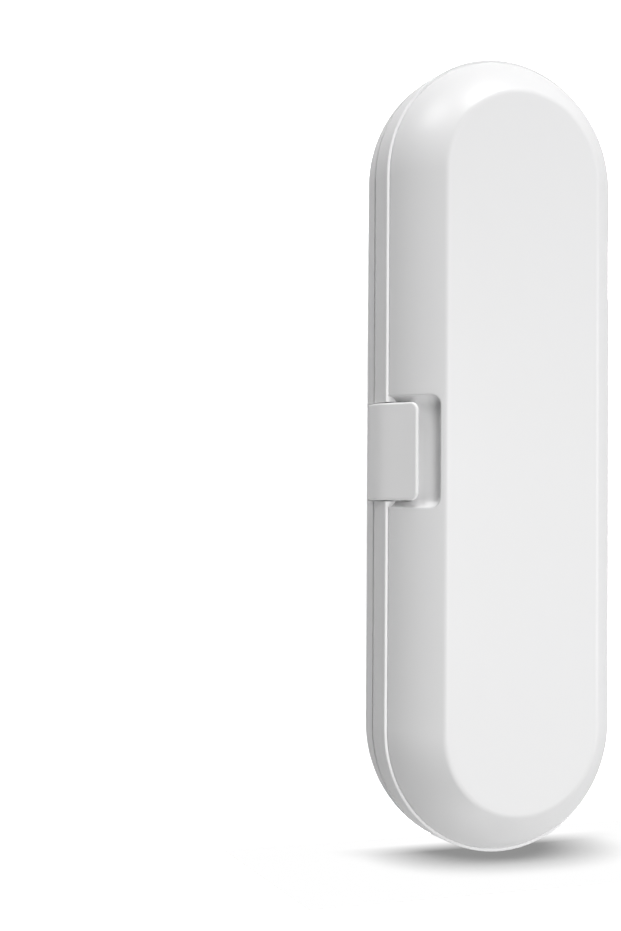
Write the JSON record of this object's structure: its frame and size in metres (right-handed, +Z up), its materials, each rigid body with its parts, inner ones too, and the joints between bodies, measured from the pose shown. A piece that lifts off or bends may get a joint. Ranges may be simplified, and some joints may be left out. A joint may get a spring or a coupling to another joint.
{
  "type": "toothbrush travel case",
  "caption": "Capsule-shaped hinged travel case for an electric toothbrush, with a snap latch on one long side and a moulded tray for handle and brush heads.",
  "frame": {"origin": "centre of the flat back that the closed case lies on", "axes": "+X along the case towards the handle bay's neck end, +Y across it from the latch side to the hinge side, +Z up through the lid"},
  "size_m": [0.216, 0.072, 0.043],
  "materials": {
    "case_plastic": "satin moulded",
    "latch_plastic": "satin moulded",
    "tray_plastic": "fine matt moulded",
    "cradle_rubber": "soft matt",
    "pad_foam": "closed-cell foam",
    "pin_steel": "plain drawn"
  },
  "bodies": {
    "base": {"base_shell": "case_plastic", "hinge_pin_left": "pin_steel", "hinge_pin_right": "pin_steel", "inner_tray": "tray_plastic", "tray_screws": "pin_steel", "handle_cradle_lower": "cradle_rubber", "handle_cradle_upper": "cradle_rubber", "neck_cradle": "cradle_rubber", "head_dock": "cradle_rubber"},
    "lid": {"lid_shell": "case_plastic", "lid_handle_pad": "pad_foam", "lid_neck_pad": "pad_foam"},
    "latch": {"latch_flap": "latch_plastic"}
  },
  "joints": [
    {"name": "lid_hinge", "type": "hinge", "parent": "base", "child": "lid", "pos_m": [0, 0.0342, 0.024], "axis": [-1, 0, 0], "range_deg": [0, 135]},
    {"name": "latch_pivot", "type": "hinge", "parent": "base", "child": "latch", "pos_m": [0, -0.032, 0.01904], "axis": [1, 0, 0], "range_deg": [0, 85]}
  ]
}
